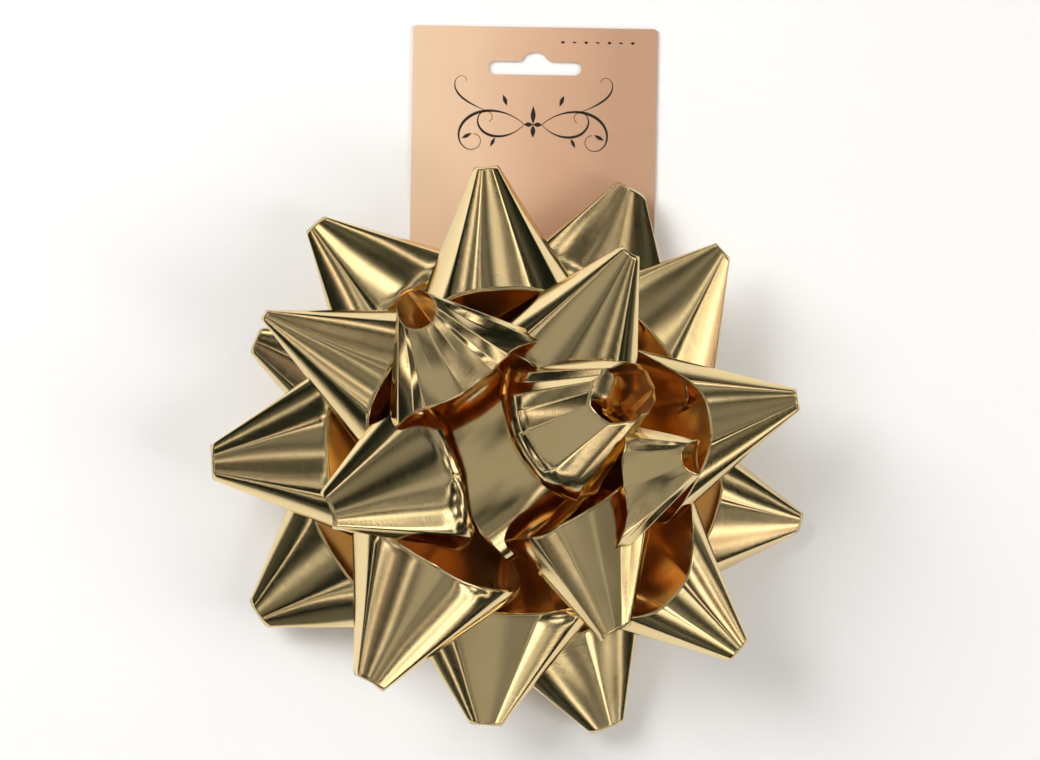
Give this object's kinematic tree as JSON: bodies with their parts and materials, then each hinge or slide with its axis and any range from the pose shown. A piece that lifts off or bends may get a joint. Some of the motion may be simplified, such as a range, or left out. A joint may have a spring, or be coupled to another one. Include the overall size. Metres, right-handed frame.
{
  "type": "gift bow",
  "caption": "Star gift bow of pointed metallised ribbon loops pinned on a sticky backing disc, on a printed hang card with a euro slot.",
  "frame": {"origin": "foot of the bow's pin axis on the back face of the hang card", "axes": "+Z out of the card through the middle of the bow, +Y from the bow towards the euro slot"},
  "size_m": [0.1991, 0.2417, 0.0885],
  "materials": {
    "film": "champagne gold metallised film outside, copper inside, mirror bright with fine brushed grain",
    "board": "satin printed board, rose gold ink",
    "liner": "siliconised release paper",
    "foam": "closed cell foam with adhesive faces",
    "grey_board": "uncoated grey board",
    "steel": "plated steel rivet"
  },
  "bodies": {
    "hang_card": {"hang_card": "board"},
    "release_liner": {"release_liner": "liner"},
    "bow_base": {"foam_pad": "foam", "backing_disc": "grey_board", "pin_washer": "steel", "ribbon_core": "film", "centre_pin": "steel", "centre_loop": "film"},
    "star_loop_01": {"star_loop_01": "film"},
    "star_loop_02": {"star_loop_02": "film"},
    "star_loop_03": {"star_loop_03": "film"},
    "star_loop_04": {"star_loop_04": "film"},
    "star_loop_05": {"star_loop_05": "film"},
    "star_loop_06": {"star_loop_06": "film"},
    "star_loop_07": {"star_loop_07": "film"},
    "star_loop_08": {"star_loop_08": "film"},
    "star_loop_09": {"star_loop_09": "film"},
    "star_loop_10": {"star_loop_10": "film"},
    "star_loop_11": {"star_loop_11": "film"},
    "star_loop_12": {"star_loop_12": "film"},
    "star_loop_13": {"star_loop_13": "film"},
    "star_loop_14": {"star_loop_14": "film"},
    "star_loop_15": {"star_loop_15": "film"},
    "star_loop_16": {"star_loop_16": "film"},
    "star_loop_17": {"star_loop_17": "film"},
    "star_loop_18": {"star_loop_18": "film"},
    "star_loop_19": {"star_loop_19": "film"},
    "star_loop_20": {"star_loop_20": "film"}
  },
  "joints": [
    {"name": "liner_release", "type": "slide", "parent": "hang_card", "child": "release_liner", "axis": [0, 0, 1], "range_m": [0, 0.04]},
    {"name": "bow_lift", "type": "slide", "parent": "release_liner", "child": "bow_base", "axis": [0, 0, 1], "range_m": [0, 0.08]},
    {"name": "star_loop_01_flex", "type": "hinge", "parent": "bow_base", "child": "star_loop_01", "pos_m": [-0.00856, 0.00363, 0.00551], "axis": [0.3907, 0.9205, 0], "range_deg": [-2, 2], "stiffness_Nm_per_rad": 0.15},
    {"name": "star_loop_02_flex", "type": "hinge", "parent": "bow_base", "child": "star_loop_02", "pos_m": [0.00393, 0.00843, 0.00613], "axis": [0.9063, -0.4226, 0], "range_deg": [-2, 2], "stiffness_Nm_per_rad": 0.15},
    {"name": "star_loop_03_flex", "type": "hinge", "parent": "bow_base", "child": "star_loop_03", "pos_m": [0.00902, -0.00225, 0.00675], "axis": [-0.2419, -0.9703, 0], "range_deg": [-2, 2], "stiffness_Nm_per_rad": 0.15},
    {"name": "star_loop_04_flex", "type": "hinge", "parent": "bow_base", "child": "star_loop_04", "pos_m": [0.00318, -0.00874, 0.00737], "axis": [-0.9397, -0.342, 0], "range_deg": [-2, 2], "stiffness_Nm_per_rad": 0.15},
    {"name": "star_loop_05_flex", "type": "hinge", "parent": "bow_base", "child": "star_loop_05", "pos_m": [-0.00762, -0.00533, 0.00799], "axis": [-0.5736, 0.8192, 0], "range_deg": [-2, 2], "stiffness_Nm_per_rad": 0.15},
    {"name": "star_loop_06_flex", "type": "hinge", "parent": "bow_base", "child": "star_loop_06", "pos_m": [-0.00598, 0.00712, 0.00861], "axis": [0.766, 0.6428, 0], "range_deg": [-2, 2], "stiffness_Nm_per_rad": 0.15},
    {"name": "star_loop_07_flex", "type": "hinge", "parent": "bow_base", "child": "star_loop_07", "pos_m": [-0.00927, -0.00081, 0.00923], "axis": [-0.0872, 0.9962, 0], "range_deg": [-3, 3], "stiffness_Nm_per_rad": 0.15},
    {"name": "star_loop_08_flex", "type": "hinge", "parent": "bow_base", "child": "star_loop_08", "pos_m": [0.00691, 0.00622, 0.00985], "axis": [0.6691, -0.7431, 0], "range_deg": [-3, 3], "stiffness_Nm_per_rad": 0.15},
    {"name": "star_loop_09_flex", "type": "hinge", "parent": "bow_base", "child": "star_loop_09", "pos_m": [-0.00065, -0.00928, 0.01047], "axis": [-0.9976, 0.0698, 0], "range_deg": [-3, 3], "stiffness_Nm_per_rad": 0.15},
    {"name": "star_loop_10_flex", "type": "hinge", "parent": "bow_base", "child": "star_loop_10", "pos_m": [-0.00065, 0.00928, 0.01109], "axis": [0.9976, 0.0698, 0], "range_deg": [-3, 3], "stiffness_Nm_per_rad": 0.15},
    {"name": "star_loop_11_flex", "type": "hinge", "parent": "bow_base", "child": "star_loop_11", "pos_m": [0.00702, -0.0061, 0.01171], "axis": [-0.6561, -0.7547, 0], "range_deg": [-3, 3], "stiffness_Nm_per_rad": 0.15},
    {"name": "star_loop_12_flex", "type": "hinge", "parent": "bow_base", "child": "star_loop_12", "pos_m": [0.00916, 0.00161, 0.01233], "axis": [0.1736, -0.9848, 0], "range_deg": [-3, 3], "stiffness_Nm_per_rad": 0.15},
    {"name": "star_loop_13_flex", "type": "hinge", "parent": "bow_base", "child": "star_loop_13", "pos_m": [-0.00451, -0.00813, 0.01295], "axis": [-0.8746, 0.4848, 0], "range_deg": [-3, 3], "stiffness_Nm_per_rad": 0.15},
    {"name": "star_loop_14_flex", "type": "hinge", "parent": "bow_base", "child": "star_loop_14", "pos_m": [-0.00813, 0.00451, 0.01357], "axis": [0.4848, 0.8746, 0], "range_deg": [-3, 3], "stiffness_Nm_per_rad": 0.15},
    {"name": "star_loop_15_flex", "type": "hinge", "parent": "bow_base", "child": "star_loop_15", "pos_m": [0.00507, 0.0078, 0.01419], "axis": [0.8387, -0.5446, 0], "range_deg": [-4, 4], "stiffness_Nm_per_rad": 0.15},
    {"name": "star_loop_16_flex", "type": "hinge", "parent": "bow_base", "child": "star_loop_16", "pos_m": [0.00437, -0.00821, 0.01481], "axis": [-0.8829, -0.4695, 0], "range_deg": [-4, 4], "stiffness_Nm_per_rad": 0.15},
    {"name": "star_loop_17_flex", "type": "hinge", "parent": "bow_base", "child": "star_loop_17", "pos_m": [-0.00874, -0.00318, 0.01543], "axis": [-0.342, 0.9397, 0], "range_deg": [-4, 4], "stiffness_Nm_per_rad": 0.15},
    {"name": "star_loop_18_flex", "type": "hinge", "parent": "bow_base", "child": "star_loop_18", "pos_m": [0.00928, -0.00065, 0.01605], "axis": [-0.0698, -0.9976, 0], "range_deg": [-4, 4], "stiffness_Nm_per_rad": 0.15},
    {"name": "star_loop_19_flex", "type": "hinge", "parent": "bow_base", "child": "star_loop_19", "pos_m": [-0.00493, 0.00789, 0.01667], "axis": [0.848, 0.5299, 0], "range_deg": [-4, 4], "stiffness_Nm_per_rad": 0.15},
    {"name": "star_loop_20_flex", "type": "hinge", "parent": "bow_base", "child": "star_loop_20", "pos_m": [0.00829, 0.00422, 0.01729], "axis": [0.454, -0.891, 0], "range_deg": [-4, 4], "stiffness_Nm_per_rad": 0.15}
  ],
  "couplings": [
    {"joint": "star_loop_01_flex", "follows": "star_loop_20_flex", "ratio": 0.5},
    {"joint": "star_loop_02_flex", "follows": "star_loop_20_flex", "ratio": 0.5},
    {"joint": "star_loop_03_flex", "follows": "star_loop_20_flex", "ratio": 0.5},
    {"joint": "star_loop_04_flex", "follows": "star_loop_20_flex", "ratio": 0.5},
    {"joint": "star_loop_05_flex", "follows": "star_loop_20_flex", "ratio": 0.5},
    {"joint": "star_loop_06_flex", "follows": "star_loop_20_flex", "ratio": 0.5},
    {"joint": "star_loop_07_flex", "follows": "star_loop_20_flex", "ratio": 0.75},
    {"joint": "star_loop_08_flex", "follows": "star_loop_20_flex", "ratio": 0.75},
    {"joint": "star_loop_09_flex", "follows": "star_loop_20_flex", "ratio": 0.75},
    {"joint": "star_loop_10_flex", "follows": "star_loop_20_flex", "ratio": 0.75},
    {"joint": "star_loop_11_flex", "follows": "star_loop_20_flex", "ratio": 0.75},
    {"joint": "star_loop_12_flex", "follows": "star_loop_20_flex", "ratio": 0.75},
    {"joint": "star_loop_13_flex", "follows": "star_loop_20_flex", "ratio": 0.75},
    {"joint": "star_loop_14_flex", "follows": "star_loop_20_flex", "ratio": 0.75},
    {"joint": "star_loop_15_flex", "follows": "star_loop_20_flex", "ratio": 1},
    {"joint": "star_loop_16_flex", "follows": "star_loop_20_flex", "ratio": 1},
    {"joint": "star_loop_17_flex", "follows": "star_loop_20_flex", "ratio": 1},
    {"joint": "star_loop_18_flex", "follows": "star_loop_20_flex", "ratio": 1},
    {"joint": "star_loop_19_flex", "follows": "star_loop_20_flex", "ratio": 1}
  ]
}
